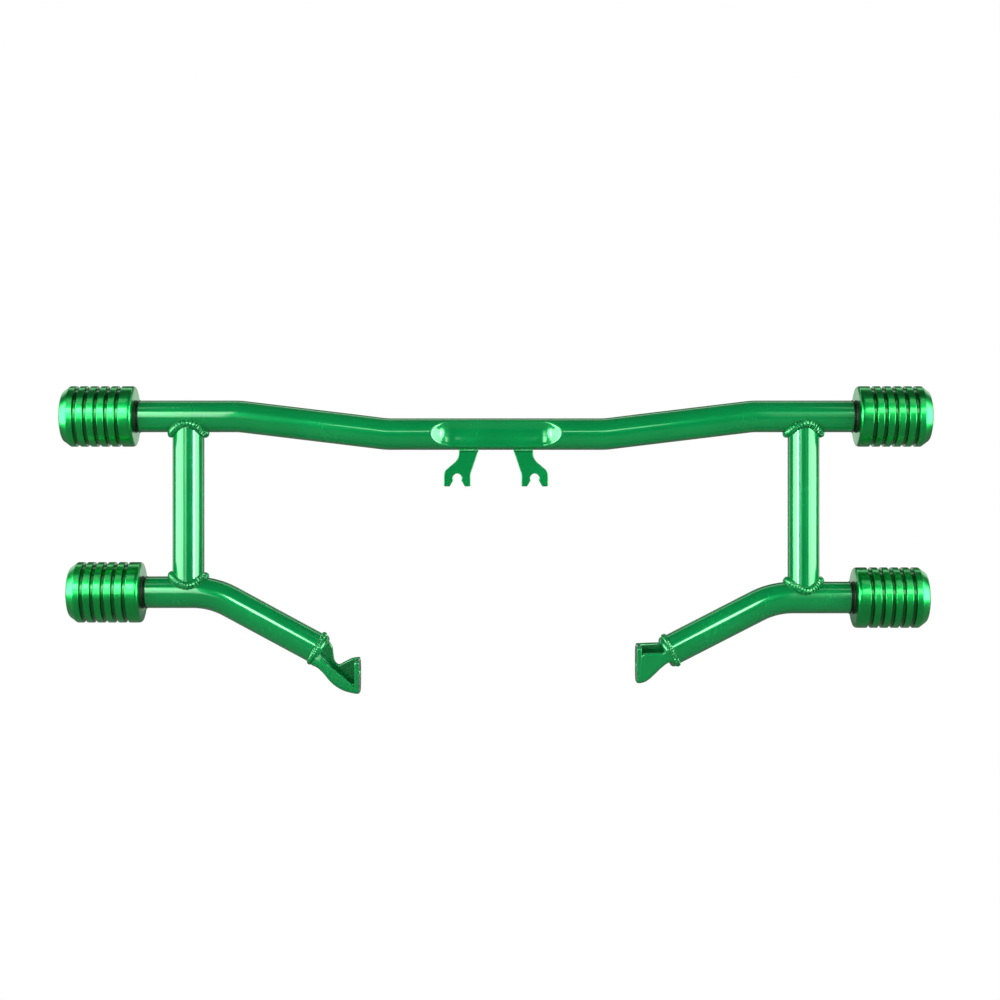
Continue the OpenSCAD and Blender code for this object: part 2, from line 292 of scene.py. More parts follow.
def turned_anodised(name):
    """Dyed aluminium with the fine rings that a lathe tool leaves, and a few small knocks.
    The groove attribute marks the grooves, where the colour is darkened as painted shade in their
    hollows."""
    def rings(nodes, place):
        return nodes.noise(place, 1.0, 3.0, stretch=(3200.0, 14.0, 14.0))

    def colour(nodes, place):
        clouds = nodes.noise(place, 40.0, 3.0).ramp(0.3, 0.75)
        base = nodes.blend(clouds, shade(ANODISED_GREEN, 0.90), shade(ANODISED_GREEN, 1.08))
        base = nodes.blend(rings(nodes, place).ramp(0.45, 0.75) * 0.25, base, shade(ANODISED_GREEN, 0.6))
        groove = nodes.make("ShaderNodeAttribute", {"attribute_name": "groove"}, output="Fac")
        # Painted shade: the grooves are darkened to a deep green where their hollows would be shaded.
        return nodes.blend(groove.ramp(0.1, 0.9) * 0.85, base, shade(ANODISED_GREEN, 0.18))

    def roughness(nodes, place):
        smear = nodes.noise(place, 60.0, 3.0).ramp(0.35, 0.8)
        return 0.25 + 0.08 * smear + 0.07 * rings(nodes, place)

    def height(nodes, place):
        knocks = nodes.noise(place, 260.0, 1.0).ramp(0.74, 0.80)
        return rings(nodes, place) - 1.5 * knocks

    return finish(name, colour, roughness, height, (0.5, 0.00004), Metallic=1.0,
                  Coat_Weight=0.6, Coat_Roughness=0.10)


def moulded_rubber(name):
    """Dark rubber with a fine moulded grain, tinted faintly green in soft patches as a painted reflection
    of the green parts beside it.
    """
    def colour(nodes, place):
        painted_green_reflection = nodes.noise(place, 90.0, 4.0).ramp(0.45, 0.8)
        # Painted reflection: both tones carry a green cast taken from the green parts round the rubber.
        return nodes.blend(painted_green_reflection, (0.0012, 0.010, 0.0035, 1), (0.006, 0.030, 0.012, 1))

    def roughness(nodes, place):
        return 0.34 + 0.2 * nodes.noise(place, 300.0, 2.0)

    def height(nodes, place):
        return nodes.noise(place, 1500.0, 2.0)

    return finish(name, colour, roughness, height, (0.4, 0.00004))


def machined_steel(name, grey):
    """Bare steel with turning scratches round X and a few duller stains."""
    def scratches(nodes, place):
        return nodes.noise(place, 1.0, 4.0, stretch=(2500.0, 60.0, 60.0))

    def colour(nodes, place):
        stain = nodes.noise(place, 120.0, 3.0).ramp(0.4, 0.8)
        clean = shade((grey, grey, grey * 1.04), 1.0)
        return nodes.blend(stain, clean, shade((grey, grey * 0.95, grey * 0.9), 0.7))

    def roughness(nodes, place):
        return 0.24 + 0.22 * scratches(nodes, place)

    def height(nodes, place):
        return scratches(nodes, place)

    return finish(name, colour, roughness, height, (0.4, 0.00003), Metallic=1.0)


# ---------- mesh helpers ----------

def link_mesh(mesh, name):
    obj = bpy.data.objects.new(name, mesh)
    bpy.context.scene.collection.objects.link(obj)
    return obj


def finish_mesh(bm, name, sharp=35):
    """A smooth-shaded object from a bmesh, with edges over `sharp` degrees kept crisp."""
    bmesh.ops.remove_doubles(bm, verts=bm.verts, dist=1e-7)
    bmesh.ops.recalc_face_normals(bm, faces=bm.faces)
    mesh = bpy.data.meshes.new(name)
    bm.to_mesh(mesh)
    bm.free()
    mesh.polygons.foreach_set("use_smooth", [True] * len(mesh.polygons))
    mesh.set_sharp_from_angle(angle=math.radians(sharp))
    return link_mesh(mesh, name)


def baked(obj):
    """Applies an object's modifiers and gives back a plain mesh object."""
    graph = bpy.context.evaluated_depsgraph_get()
    mesh = bpy.data.meshes.new_from_object(obj.evaluated_get(graph))
    name = obj.name
    bpy.data.objects.remove(obj)
    mesh.name = name
    return link_mesh(mesh, name)


def skin(bm, rings, closed=False):
    """Joins rings of points, each as long as the next, with quads. An open run is capped."""
    rows = [[bm.verts.new(p) for p in ring] for ring in rings]
    n = len(rows[0])
    pairs = list(zip(rows, rows[1:]))
    if closed:
        pairs.append((rows[-1], rows[0]))
    for a, b in pairs:
        for i in range(n):
            j = (i + 1) % n
            bm.faces.new((a[i], a[j], b[j], b[i]))
    if not closed:
        bm.faces.new(rows[0])
        bm.faces.new(reversed(rows[-1]))


def bent_path(points, step=0.004):
    """(point, tangent) pairs along a centreline in the XZ plane, with round bends."""
    pts = [Vector((x, 0, z)) for x, z in points]
    out = []

    def run(a, b, cut_a, cut_b):
        d = (b - a).normalized()
        start, end = a + d * cut_a, b - d * cut_b
        count = max(2, round((end - start).length / step))
        for i in range(count + 1):
            out.append((start.lerp(end, i / count), d))

    cuts = [0.0]
    for a, b, c in zip(pts, pts[1:], pts[2:]):
        turn = (b - a).angle(c - b)
        cuts.append(BEND_R * math.tan(turn / 2))
    cuts.append(0.0)
    for k in range(len(pts) - 1):
        run(pts[k], pts[k + 1], cuts[k], cuts[k + 1])
        if k + 2 < len(pts):
            d0 = (pts[k + 1] - pts[k]).normalized()
            d1 = (pts[k + 2] - pts[k + 1]).normalized()
            start = pts[k + 1] - d0 * cuts[k + 1]
            turn = d0.angle(d1)
            side = (d1 - d0 * d0.dot(d1)).normalized()
            centre = start + side * BEND_R
            count = max(6, round(turn * BEND_R / 0.0016))
            for i in range(1, count):
                a = turn * i / count
                point = centre - side * (BEND_R * math.cos(a)) + d0 * (BEND_R * math.sin(a))
                out.append((point, (d0 * math.cos(a) + side * math.sin(a)).normalized()))
    return out


def soft_max(a, b, k):
    """The larger of a and b, with the corner between them rounded over about k."""
    h = max(k - abs(a - b), 0.0) / k
    return max(a, b) + h * h * k * 0.25


def dent_push(p, grow=0.0):
    """Moves a point of the upper bar back to where the dent's die leaves it."""
    chord = math.sqrt(DENT_DIE_R ** 2 - (DENT_H / 2) ** 2)
    stand_off = math.sqrt(TUBE_R ** 2 - (DENT_H / 2) ** 2) + chord
    end_run = math.sqrt(DENT_DIE_R ** 2 - (stand_off - TUBE_R) ** 2)
    half = DENT_LEN / 2 - end_run
    along = max(abs(p.x) - half, 0.0)
    reach = (DENT_DIE_R + grow) ** 2 - (p.z - BAR_Z) ** 2 - along ** 2
    if p.y > 0 or reach <= 0:
        return p
    die_y = math.sqrt(reach) - stand_off
    return Vector((p.x, soft_max(p.y, die_y, DENT_EASE), p.z))


def tube_rings(path, r, push=None):
    """Rings of radius r along a path, each point moved by push where one is given."""
    rings = []
    for point, tangent in path:
        up = Vector((-tangent.z, 0, tangent.x))
        ring = []
        for i in range(AROUND):
            a = 2 * math.pi * i / AROUND
            p = point + up * (r * math.cos(a)) + Vector((0, r * math.sin(a), 0))
            ring.append(push(p) if push else p)
        rings.append(ring)
    return rings


def tube(name, points, push=None, step=0.004):
    """A hollow tube: outer skin, inner skin and the two end faces, closed."""
    path = bent_path(points, step)
    outer = tube_rings(path, TUBE_R, push)
    inner_push = (lambda p: push(p, TUBE_WALL)) if push else None
    inner = tube_rings(path, TUBE_R - TUBE_WALL, inner_push)
    bm = bmesh.new()
    skin(bm, outer + inner[::-1], closed=True)
    return finish_mesh(bm, name)


def saddle_drop(r, angle, fill):
    """How far the line where a post of radius r meets a tube lies from that tube's centreline."""
    return math.hypot(r * math.cos(angle), fill * math.sin(angle) ** 2)


def arm_sag(side, x):
    """How far a lower arm's centreline has dropped at x, where its bend starts under the post."""
    bend_x = abs(arm_points(side)[1][0])
    run = bend_x + BEND_R * math.tan(ARM_SLOPE[side] / 2) - abs(x)
    return BEND_R - math.sqrt(BEND_R ** 2 - run ** 2) if run > 0 else 0.0


def post_tube(side):
    """A post, coped to the upper bar and the lower arm at its two ends."""
    x = post_x(side)
    z_arm = arm_points(side)[1][1]

    def ring(r, where):
        """A ring of radius r between the post's foot, where is 0, and its top, where is 1."""
        points = []
        for i in range(AROUND):
            a = 2 * math.pi * i / AROUND
            dx, dy = r * math.cos(a), r * math.sin(a)
            saddle = saddle_drop(TUBE_R, a, SADDLE_FILL) - POST_TUCK
            low, high = z_arm - arm_sag(side, x + dx) + saddle, END_Z - saddle
            points.append(Vector((x + dx, dy, low + (high - low) * where)))
        return points

    steps = [i / 24 for i in range(25)]
    r_in = TUBE_R - TUBE_WALL
    bm = bmesh.new()
    skin(bm, [ring(TUBE_R, t) for t in steps] + [ring(r_in, t) for t in steps[::-1]], closed=True)
    return finish_mesh(bm, SIDE_NAME[side] + "_post_tube")


def lathe(name, profile, centre, side, turns=128, sharp=35, radius=None):
    """Turns (radius, distance) points round the X axis; distance runs outboard from centre.
    The profile is a closed loop, unless its two ends are near the axis. radius, a function of
    (radius, distance, angle), can change a ring from a circle."""
    bm = bmesh.new()
    rings = []
    for r, d in profile:
        ring = []
        for i in range(turns):
            a = 2 * math.pi * i / turns
            ra = radius(r, d, a) if radius else r
            y, z = centre.y + ra * math.cos(a), centre.z + ra * math.sin(a)
            ring.append(Vector((centre.x + side * d, y, z)))
        rings.append(ring)
    skin(bm, rings, closed=profile[0][0] > 1e-5)
    return finish_mesh(bm, name, sharp)


def rounded(points, r, steps=4):
    """The corners of an open outline, each replaced by a small arc of about radius r."""
    out = [points[0]]
    for a, b, c in zip(points, points[1:], points[2:]):
        va, vc = Vector(a) - Vector(b), Vector(c) - Vector(b)
        cut = min(r, va.length * 0.45, vc.length * 0.45)
        p, q = Vector(b) + va.normalized() * cut, Vector(b) + vc.normalized() * cut
        for i in range(steps + 1):
            t = i / steps
            out.append(tuple(p * (1 - t) ** 2 + Vector(b) * (2 * t * (1 - t)) + q * t ** 2))
    out.append(points[-1])
    return out


def arc(centre, r, a, b, steps=8):
    """Points of an arc from angle a to angle b, in degrees."""
    turn = [math.radians(a + (b - a) * i / steps) for i in range(steps + 1)]
    return [(centre[0] + r * math.cos(t), centre[1] + r * math.sin(t)) for t in turn]


# ---------- geometry node trees ----------

def node_tree(name, sizes):
    """A geometry tree with a geometry input, one float input for each size, and a material."""
    tree = bpy.data.node_groups.new(name, "GeometryNodeTree")
    tree.interface.new_socket("Geometry", in_out="INPUT", socket_type="NodeSocketGeometry")
    for size in sizes:
        tree.interface.new_socket(size, in_out="INPUT", socket_type="NodeSocketFloat")
    tree.interface.new_socket("Material", in_out="INPUT", socket_type="NodeSocketMaterial")
    tree.interface.new_socket("Geometry", in_out="OUTPUT", socket_type="NodeSocketGeometry")
    nodes = Nodes(tree)
    group_in = tree.nodes.new("NodeGroupInput")
    fields = {socket.name: Field(nodes, socket) for socket in group_in.outputs if socket.name}
    return nodes, fields


def close_tree(nodes, geometry, material):
    """Ends a tree in Realize Instances and Set Material."""
    real = nodes.make("GeometryNodeRealizeInstances", {}, [geometry])
    painted = nodes.make("GeometryNodeSetMaterial", {}, {"Geometry": real, "Material": material})
    out = nodes.tree.nodes.new("NodeGroupOutput")
    nodes.tree.links.new(painted.socket, out.inputs[0])
    return nodes.tree


def run_tree(obj, tree, values):
    """Runs a geometry tree on an object, with its inputs set by identifier, as a plain mesh."""
    modifier = obj.modifiers.new(tree.name, "NODES")
    modifier.node_group = tree
    for item in tree.interface.items_tree:
        if item.in_out == "INPUT" and item.name in values:
            modifier[item.identifier] = values[item.name]
    return baked(obj)


def weld_bead_tree():
    """A bead swept along a line of edges, with overlapping crescent ripples along it."""
    nodes, given = node_tree("weld_bead", ["Bead Radius", "Ripple Pitch", "Ripple Height",
                                           "Roughness", "Seed"])
    line = nodes.make("GeometryNodeMeshToCurve", {}, {"Mesh": given["Geometry"]})
    line = nodes.make("GeometryNodeResampleCurve", {"mode": "LENGTH"},
                      {"Curve": line, "Length": given["Ripple Pitch"] / 7.0})
    run = nodes.make("GeometryNodeSplineParameter", {}, {}, "Length")
    line = nodes.make("GeometryNodeStoreNamedAttribute", {"data_type": "FLOAT", "domain": "POINT"},
                      {"Geometry": line, "Name": "bead_run", "Value": run})
    ring = nodes.make("GeometryNodeCurvePrimitiveCircle", {},
                      {"Resolution": 18, "Radius": given["Bead Radius"]})
    turn = nodes.make("GeometryNodeSplineParameter", {}, {}, "Factor")
    ring = nodes.make("GeometryNodeStoreNamedAttribute", {"data_type": "FLOAT", "domain": "POINT"},
                      {"Geometry": ring, "Name": "bead_turn", "Value": turn})
    bead = nodes.make("GeometryNodeCurveToMesh", {},
                      {"Curve": line, "Profile Curve": ring, "Fill Caps": True})
    run = nodes.make("GeometryNodeInputNamedAttribute", {"data_type": "FLOAT"}, {"Name": "bead_run"})
    turn = nodes.make("GeometryNodeInputNamedAttribute", {"data_type": "FLOAT"}, {"Name": "bead_turn"})
    place = nodes.make("GeometryNodeInputPosition")
    lumps = nodes.make("ShaderNodeTexNoise", {"noise_dimensions": "4D"},
                       {"Vector": place, "W": given["Seed"], "Scale": 320.0, "Detail": 1.0})
    crescent = nodes.make("ShaderNodeMath", {"operation": "COSINE"}, [turn * (2 * math.pi)])
    phase = run / given["Ripple Pitch"] + 0.30 * crescent + 0.9 * lumps
    saw = nodes.make("ShaderNodeMath", {"operation": "FRACT"}, [phase])
    ripple = 1.0 - saw ** 2.2
    push = (ripple - 0.6) * given["Ripple Height"] + (lumps - 0.5) * given["Roughness"]
    normal = nodes.make("GeometryNodeInputNormal")
    offset = nodes.make("ShaderNodeVectorMath", {"operation": "SCALE"}, {"Vector": normal, "Scale": push})
    bead = nodes.make("GeometryNodeSetPosition", {}, {"Geometry": bead, "Offset": offset})
    bead = nodes.make("GeometryNodeSetShadeSmooth", {}, {"Geometry": bead})
    return close_tree(nodes, bead, given["Material"])


def groove_tree():
    """Turns grooves at an even pitch into a blank that lies along X."""
    nodes, given = node_tree("turned_grooves", ["Start", "Outboard", "Centre Z", "First Groove",
                                                "Pitch", "Count", "Mouth", "Depth",
                                                "Blank Radius"])
    place = nodes.make("GeometryNodeInputPosition")
    run = (place.axis("X") - given["Start"]) * given["Outboard"]
    slot = (run - given["First Groove"]) / given["Pitch"]
    nearest = nodes.make("ShaderNodeMath", {"operation": "ROUND"}, [slot])
    nearest = nodes.make("ShaderNodeClamp", {},
                         {"Value": nearest, "Min": 0.0, "Max": given["Count"] - 1.0})
    off = nodes.make("ShaderNodeMath", {"operation": "ABSOLUTE"}, [(slot - nearest) * given["Pitch"]])
    inside = 1.0 - off.ramp(given["Mouth"] * 0.30, given["Mouth"] * 0.52)
    y, z = place.axis("Y"), place.axis("Z") - given["Centre Z"]
    radius = (y * y + z * z) ** 0.5
    # Only the outer skin moves, so the bore and the recess keep their size
    skin_mask = radius.ramp(given["Blank Radius"] - 0.0012, given["Blank Radius"] - 0.0004)
    shrink = 0.0 - inside * skin_mask * given["Depth"] / radius
    offset = nodes.make("ShaderNodeCombineXYZ", {}, [0.0, y * shrink, z * shrink])
    # The groove mask is stored for the anodised finish, which uses it to darken the grooves as painted
    # shade.
    marked = nodes.make("GeometryNodeStoreNamedAttribute", {"data_type": "FLOAT", "domain": "POINT"},
                        {"Geometry": given["Geometry"], "Name": "groove", "Value": inside * skin_mask})
    turned = nodes.make("GeometryNodeSetPosition", {}, {"Geometry": marked, "Offset": offset})
    return close_tree(nodes, turned, given["Material"])


# ---------- pieces ----------

def add(piece, slot, *nodes):
    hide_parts(*nodes)
    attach(piece, "root")


def painted(piece, material):
    piece.data.materials.clear()
    piece.data.materials.append(material)
    return piece


paint = powder_coat("green_powder_coat", 0.0022, 0.00005)
weld_paint = powder_coat("weld_powder_coat", 0.0014, 0.00012)
anodised = turned_anodised("green_anodised")
rubber = moulded_rubber("black_rubber")
bolt_steel = machined_steel("bolt_steel", 0.42)
boss_steel = machined_steel("boss_steel", 0.55)

bar_points = [(-BAR_END, END_Z), (-OUTER_BEND, END_Z), (-INNER_BEND, BAR_Z),
              (INNER_BEND, BAR_Z), (OUTER_BEND, END_Z), (BAR_END, END_Z)]
add(painted(tube("upper_bar_tube", bar_points, dent_push, step=0.002), paint), "frame_paint", "upper_bar")
for side in (LEFT, RIGHT):
    name = SIDE_NAME[side]
    add(painted(tube(name + "_arm_tube", arm_points(side)), paint), "frame_paint", name + "_lower_arm")
    add(painted(post_tube(side), paint), "frame_paint", name + "_post")


# ---------- sliders and what holds them ----------

def slider_piece(node, side, grooves):
    """A turned puck: dense skin for the grooves, cut corner, nose cone, recess and bolt hole."""
    centre, length, _ = turned_end(node, side)
    chamfer = 0.0006
    bore = [(BOLT_CLEAR_R, length - RECESS_DEPTH), (BOLT_CLEAR_R, chamfer),
            (BOLT_CLEAR_R + chamfer, 0.0)]
    corner = rounded([(SLIDER_R * 0.6, 0.0), (SLIDER_R - INNER_CORNER, 0.0),
                      (SLIDER_R - 0.0006, 0.0009), (SLIDER_R, INNER_CORNER),
                      (SLIDER_R, LAND_START)], 0.0009)
    land_end = length - NOSE_LEN
    count = round((land_end - LAND_START) / LAND_STEP)
    land_run = land_end - NOSE_EASE - LAND_START
    land = [(SLIDER_R, LAND_START + land_run * i / count) for i in range(1, count)]
    face = (RECESS_R + 0.004, length)
    nose = rounded([(SLIDER_R, land_end - NOSE_EASE), (SLIDER_R, land_end),
                    (NOSE_R + NOSE_EASE, length - 0.0010), (NOSE_R - NOSE_EASE, length), face],
                   0.0022, 6)
    mouth = rounded([face, (RECESS_R + chamfer, length), (RECESS_R, length - 0.0008),
                     (RECESS_R, length - RECESS_DEPTH)], 0.0003)
    profile = bore + corner + land + nose + mouth[1:]
    blank = lathe(node + "_puck", profile, centre, side, turns=160, sharp=40)
    puck = run_tree(blank, grooves, {
        "Start": centre.x, "Outboard": float(side), "Centre Z": centre.z,
        "First Groove": FIRST_GROOVE, "Pitch": GROOVE_PITCH, "Count": float(GROOVE_COUNT),
        "Mouth": GROOVE_MOUTH, "Depth": GROOVE_DEPTH, "Blank Radius": SLIDER_R,
        "Material": anodised})
    add(puck, "slider_anodised", node)


def collar_piece(node, side):
    """A spacer ring with a lip at each end and a shallow waist between them."""
    centre, length, r = turned_end(node, side)
    lip = length * 0.24
    waist_r, slope = r - 0.0014, 0.0007
    profile = rounded([(BOLT_CLEAR_R, 0.0), (r, 0.0), (r, lip), (waist_r, lip + slope),
                       (waist_r, length - lip - slope), (r, length - lip), (r, length),
                       (BOLT_CLEAR_R, length)], 0.0003, 3)
    add(painted(lathe(node + "_ring", profile, centre, side), rubber), "collar_rubber", node)


def bolt_piece(node, side):
    """A socket-head bolt: knurled head, hexagonal socket and plain shank."""
    centre, length, _ = turned_end(node, side, outer=True)
    r, head = BOLT_HEAD_R, BOLT_HEAD_LEN

    def shape(ring_r, d, angle):
        """The socket's rings are hexagons, and those round the head's side are knurled."""
        if ring_r == KEY_R:
            return KEY_R / math.cos((angle % (math.pi / 3)) - math.pi / 6)
        if ring_r == r and -head + 0.001 < d < -0.0015:
            return r - KNURL_DEPTH * abs(math.sin(angle * KNURL_LOBES))
        return ring_r

    profile = [(1e-6, -KEY_DEPTH), (KEY_R, -KEY_DEPTH), (KEY_R, -0.0004), (KEY_R * 1.25, 0.0),
               (r - 0.0010, 0.0), (r - 0.0003, -0.0003), (r, -0.0010), (r, -0.0014),
               (r, -0.0020), (r, -0.0050), (r, -head + 0.0012), (r, -head + 0.0008),
               (r - 0.0003, -head), (BOLT_SHANK_R, -head), (BOLT_SHANK_R, -length + 0.001),
               (BOLT_SHANK_R - 0.001, -length), (1e-6, -length)]
    piece = lathe(node + "_screw", profile, centre, side, turns=192, radius=shape)
    add(painted(piece, bolt_steel), "bolt_steel", node)


def washer_piece(node, side):
    """A flat washer with its outer edges broken."""
    centre, t, r = turned_end(node, side)
    edge = 0.0003
    profile = [(BOLT_CLEAR_R, 0.0), (r - edge, 0.0), (r, edge), (r, t - edge), (r - edge, t),
               (BOLT_CLEAR_R, t)]
    add(painted(lathe(node + "_disc", profile, centre, side), bolt_steel), "bolt_steel", node)


grooves = groove_tree()
for side in (LEFT, RIGHT):
    for level in ("upper", "lower"):
        station = level + "_" + SIDE_NAME[side]
        slider_piece(station + "_slider", side, grooves)
        collar_piece(station + "_collar", side)
        bolt_piece(station + "_bolt", side)
        washer_piece(station + "_washer", side)
        painted(frame["nodes"][station + "_boss"], boss_steel)


# ---------- fork tabs ----------

def fork_tab_piece(side):
    """A plate tab with broken edges and an open slot at its foot. Its outline is measured from
    the slot's centre, outboard and up."""
    top = BAR_Z - TUBE_R
    tuck = 0.0012                # how far the root reaches into the bar
    lip = 0.0004
    mm = 0.001
    outline = [(TAB_ROOT[1], top + tuck), (TAB_ROOT[1], 25 * mm)]
    outline += arc((11.5 * mm, 25 * mm), 13 * mm, 180, 228, 12)
    outline += arc((4.4 * mm, 2.2 * mm), 9 * mm, 52, 0, 12)
    outline += [(13.4 * mm, 1 * mm - TAB_FOOT), (12.4 * mm, -TAB_FOOT), (7.6 * mm, -TAB_FOOT),
                (SLOT_R - lip, -2.4 * mm)]
    outline += arc((0, 0), SLOT_R, -25, 205, 32)
    outline += [(lip - SLOT_R, -2.4 * mm), (-7.6 * mm, -TAB_FOOT), (-12.3 * mm, -TAB_FOOT),
                (-13.3 * mm, 1 * mm - TAB_FOOT), (-13.3 * mm, 2.5 * mm), (-13.8 * mm, 5.5 * mm),
                (TAB_ROOT[0], top), (TAB_ROOT[0], top + tuck)]
    bm = bmesh.new()
    front = [bm.verts.new((side * (SLOT_X + x), -TAB_T / 2, z)) for x, z in outline]
    back = [bm.verts.new((side * (SLOT_X + x), TAB_T / 2, z)) for x, z in outline]
    bm.faces.new(front)
    bm.faces.new(reversed(back))
    for i in range(len(outline)):
        j = (i + 1) % len(outline)
        bm.faces.new((front[j], front[i], back[i], back[j]))
    tab = finish_mesh(bm, SIDE_NAME[side] + "_tab_plate", sharp=30)
    bevel = tab.modifiers.new("edge", "BEVEL")
    bevel.width = 0.0006
    bevel.segments = 3
    bevel.limit_method = "ANGLE"
    bevel.angle_limit = math.radians(40)
    add(painted(baked(tab), paint), "frame_paint", SIDE_NAME[side] + "_fork_tab")


# ---------- frame lugs ----------

# Stations from the tube's end to the plate, in millimetres: bottom, front rim and back rim, each as
# (outboard of the plate's inner face, above the bolt hole), then half width and corner radius.
LUG_STATIONS = {
    LEFT: [((48, 7.6), (40, 22), (36, 33), 14.5, 13.5),
           ((41.5, 4.8), (37, 15.5), (29.9, 25), 15, 12.5),
           ((35.5, -0.6), (33.5, 10.3), (28.2, 17.3), 15.2, 11),
           ((30, -7.5), (28.5, 6.1), (26.6, 9.6), 15.4, 10),
           ((24.3, -12.8), (22, 0.6), (22.3, 5.7), 15.6, 9),
           ((16.6, -17.2), (15, -5.2), (16, 8.4), 15.8, 8),
           ((9, -19.5), (8, -11.1), (9, 11.7), 16, 7),
           ((3, -20.3), (3, -15.3), (4, 12.7), 16.2, 6),
           ((0.8, -20.3), (0.8, -16.5), (0.8, 12.7), 16.2, 5)],
    RIGHT: [((42, -0.5), (35, 20), (30, 24), 14.5, 13.5),
            ((37.5, 1.2), (31.5, 18), (27.6, 20.2), 15, 11),
            ((34, 2.4), (29.5, 14.5), (26.8, 19.7), 15.2, 9),
            ((30, 1.2), (26.5, 11.8), (24, 19.6), 15.4, 8),
            ((24.5, -3.2), (21, 10.9), (20, 19.4), 15.6, 7),
            ((18, -9.4), (15, 10.9), (15, 19.2), 15.8, 6.5),
            ((12, -14.6), (9, 11), (9, 19), 16, 6),
            ((6.5, -17.6), (5, 9.8), (5, 18.8), 16.2, 6),
            ((0.8, -17.8), (0.8, 7), (0.8, 18.6), 16.2, 5)],
}


def flow(rows, count):
    """A smooth curve through rows of numbers, sampled count times between neighbours."""
    out = []
    for k in range(len(rows) - 1):
        p = [rows[max(0, min(len(rows) - 1, k + d))] for d in (-1, 0, 1, 2)]
        for i in range(count + (k == len(rows) - 2)):
            t = i / count
            out.append([0.5 * (2 * b + (c - a) * t + (2 * a - 5 * b + 4 * c - d) * t * t
                               + (3 * b - a - 3 * c + d) * t ** 3) for a, b, c, d in zip(*p)])
    return out


def resample(points, count):
    """Points at even steps along a line."""
    steps = [(b - a).length for a, b in zip(points, points[1:])]
    total, out, k, done = sum(steps), [], 0, 0.0
    for i in range(count):
        target = total * i / (count - 1)
        while k < len(steps) - 1 and done + steps[k] < target:
            done += steps[k]
            k += 1
        out.append(points[k].lerp(points[k + 1], min(1.0, (target - done) / max(steps[k], 1e-9))))
    return out


def rim(a, b, lift):
    """The points of a wall's rounded rim, between a on one skin and b on the other."""
    return [a.lerp(b, t) + lift * math.sin(math.pi * t) for t in (0.2, 0.5, 0.8)]


def lug_piece(side):
    """A root disc, a channel lofted through the lug's stations, and an end plate."""
    name = SIDE_NAME[side]
    low, high = side_box("{}_frame_lug", side)
    face_x = high.x if side == LEFT else low.x
    hole = next(m for m in frame["record"]["mounts"] if m["name"] == name + "_lug_bolt")["pos_m"]

    def place(u, y, v):
        return Vector((face_x + side * u, y, hole[2] + v))

    def section(bottom, front, back, half, corner, wall):
        """The U of one station: front wall, bottom, back wall, set in by wall."""
        rise = (back - bottom).normalized()
        floor = bottom + rise * wall
        half -= wall
        line = [Vector((front.x, -half, front.y)), Vector((floor.x, -half, floor.y)),
                Vector((floor.x, half, floor.y)), Vector((back.x, half, back.y))]
        line = [Vector(p) for p in rounded([tuple(p) for p in line], max(corner - wall, 0.001), 10)]
        return [place(*p) for p in resample(line, SECTION_POINTS)]

    rows = [[*b, *f, *t, half, corner] for b, f, t, half, corner in LUG_STATIONS[side]]
    rings = []
    for row in flow(rows, STATION_STEPS):
        bu, bv, fu, fv, tu, tv, half, corner = (value * 0.001 for value in row)
        outer, inner = [section(Vector((bu, bv)), Vector((fu, fv)), Vector((tu, tv)), half,
                                corner, wall) for wall in (0.0, LUG_WALL)]
        lift_front = (outer[0] - outer[1]).normalized() * (LUG_WALL * 0.35)
        lift_back = (outer[-1] - outer[-2]).normalized() * (LUG_WALL * 0.35)
        rings.append(outer + rim(outer[-1], inner[-1], lift_back)
                     + inner[::-1] + rim(inner[0], outer[0], lift_front))
    bm = bmesh.new()
    skin(bm, rings)
    skin(bm, root_disc(side))
    skin(bm, plate_rings(side, high.y, place), closed=True)
    lug = finish_mesh(bm, name + "_lug_forging", sharp=50)
    add(painted(lug, paint), "frame_paint", name + "_frame_lug")


def root_disc(side):
    """Rings of the disc that closes a lower arm's inner end, with a well rounded edge."""
    start, along, up = arm_end(side)
    edge = ROOT_EDGE_R
    profile = [(1e-6, ROOT_BACK), (TUBE_R - 0.003, ROOT_BACK), (TUBE_R + 0.0004, -0.0012)]
    profile += [(TUBE_R + 0.0006 - edge + edge * math.cos(t), 0.0022 + edge * math.sin(t))
                for t in [math.pi / 2 * i / 10 for i in range(11)]]
    profile += [(TUBE_R - 0.008, ROOT_FRONT), (1e-6, ROOT_FRONT)]
    turns = [2 * math.pi * i / AROUND for i in range(AROUND)]
    return [[start + along * d + up * (r * math.cos(a)) + Vector((0, r * math.sin(a), 0))
             for a in turns] for r, d in profile]


def plate_rings(side, half, place):
    """Rings of an end plate: its outline with broken edges, then the wall of its bolt hole."""
    bottom, top = PLATE_BOTTOM[side], PLATE_TOP[side]
    back, front = PLATE_BACK_R, PLATE_FRONT_R
    outline = (arc((-half + front, bottom + front), front, 180, 270, 16)
               + arc((half - back, bottom + back), back, 270, 360, 24)
               + arc((half - back, top - back), back, 0, 90, 24)
               + arc((-half + front, top - front), front, 90, 180, 16))
    edge = PLATE_EDGE

    def loop(shrink, u):
        out = []
        for y, v in outline:
            scale = 1 - shrink / math.hypot(y, v)
            out.append(place(u, y * scale, v * scale))
        return out

    def hole(r, u):
        return [place(u, r * y / math.hypot(y, v), r * v / math.hypot(y, v)) for y, v in outline]

    return [loop(edge, 0.0), loop(edge * 0.3, edge * 0.3), loop(0.0, edge),
            loop(0.0, PLATE_T - edge), loop(edge * 0.3, PLATE_T - edge * 0.3), loop(edge, PLATE_T),
            hole(LUG_HOLE_R + edge, PLATE_T), hole(LUG_HOLE_R, PLATE_T - edge),
            hole(LUG_HOLE_R, edge), hole(LUG_HOLE_R + edge, 0.0)]


# ---------- welds ----------

RIPPLE_SHARE = 0.42              # ripple height and lumps, as shares of a bead's radius
LUMP_SHARE = 0.35
SEED_STEP = 7.3                  # between one line's seed and the next line's


